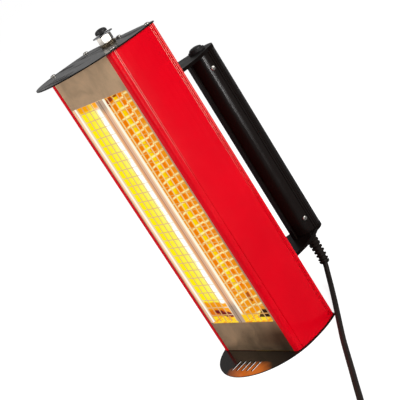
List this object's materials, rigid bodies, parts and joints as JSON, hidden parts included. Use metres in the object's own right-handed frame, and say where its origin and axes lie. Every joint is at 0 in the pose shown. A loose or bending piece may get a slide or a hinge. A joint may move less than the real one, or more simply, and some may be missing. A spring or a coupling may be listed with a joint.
{
  "type": "infrared paint curing lamp",
  "caption": "Hand-held infrared lamp for curing paint: long extruded housing, twin quartz tubes behind wire mesh, end plates, back handle, push buttons and mains cord.",
  "frame": {"origin": "on the underside of the bottom end plate, in the middle of the housing's section", "axes": "+Z along the housing from the bottom end plate to the start button, -Y out of the grille, +Y towards the handle, +X to the right of someone who looks into the grille"},
  "size_m": [0.3488, 0.3511, 0.3709],
  "materials": {
    "red_paint": "glossy red powder coat",
    "black_paint": "glossy black powder coat",
    "stainless": "brushed stainless sheet",
    "steel_wire": "bright steel wire",
    "screw_steel": "bright zinc plate",
    "yellow_zinc": "yellow zinc plate",
    "nut_chrome": "polished",
    "collar_grey": "satin",
    "reflector": "polished, gold tinted",
    "quartz": "clear",
    "filament_wire": "bare",
    "ceramic": "matte, cream",
    "galvanised": "galvanised",
    "switch_body": "matte black",
    "button_rubber": "satin black",
    "cord_rubber": "matte black",
    "plug_plastic": "matte black",
    "pin_metal": "nickel plate",
    "tie_plastic": "matte black"
  },
  "bodies": {
    "root": {"casing": "red_paint", "top_end_plate": "black_paint", "bottom_end_plate": "black_paint", "front_panel": "stainless", "grille_left": "steel_wire", "grille_right": "steel_wire", "reflector_left": "reflector", "reflector_right": "reflector", "lamp_tube_left": "quartz", "lamp_tube_right": "quartz", "filament_left": "filament_wire", "filament_right": "filament_wire", "upper_ceramic_left": "ceramic", "upper_ceramic_right": "ceramic", "lower_ceramic_left": "ceramic", "lower_ceramic_right": "ceramic", "upper_lamp_holder": "galvanised", "lower_lamp_holder": "galvanised", "heat_shield": "galvanised", "terminal_block": "ceramic", "start_switch": "switch_body", "plain_washer": "yellow_zinc", "toothed_washer": "yellow_zinc", "button_nut": "nut_chrome", "button_collar": "collar_grey", "handle_tube": "black_paint", "handle_upper_bracket": "black_paint", "handle_lower_bracket": "black_paint", "thumb_bezel": "switch_body", "thumb_switch": "switch_body", "cord_gland": "button_rubber", "strain_relief": "cord_rubber", "cord_lead": "cord_rubber", "cord_coil": "cord_rubber", "cord_tail": "cord_rubber", "coil_tie": "tie_plastic", "plug_body": "plug_plastic", "plug_pin_left": "pin_metal", "plug_pin_right": "pin_metal", "top_screw_1": "screw_steel", "bottom_screw_1": "screw_steel", "top_screw_2": "screw_steel", "bottom_screw_2": "screw_steel", "top_screw_3": "screw_steel", "bottom_screw_3": "screw_steel", "top_screw_4": "screw_steel", "bottom_screw_4": "screw_steel", "top_screw_5": "screw_steel", "bottom_screw_5": "screw_steel", "handle_screw_1": "screw_steel", "bracket_screw_1": "screw_steel", "handle_screw_2": "screw_steel", "bracket_screw_2": "screw_steel", "handle_screw_3": "screw_steel", "bracket_screw_3": "screw_steel", "handle_screw_4": "screw_steel", "bracket_screw_4": "screw_steel"},
    "start_button_body": {"start_button": "button_rubber"},
    "thumb_button_body": {"thumb_button": "button_rubber"}
  },
  "joints": [
    {"name": "start_button_press", "type": "slide", "parent": "root", "child": "start_button_body", "axis": [0, 0, -1], "range_m": [0, 0.0015], "stiffness_N_per_m": 600, "springref_m": -0.001},
    {"name": "thumb_button_press", "type": "slide", "parent": "root", "child": "thumb_button_body", "axis": [0, 0, -1], "range_m": [0, 0.0015], "stiffness_N_per_m": 600, "springref_m": -0.001}
  ]
}
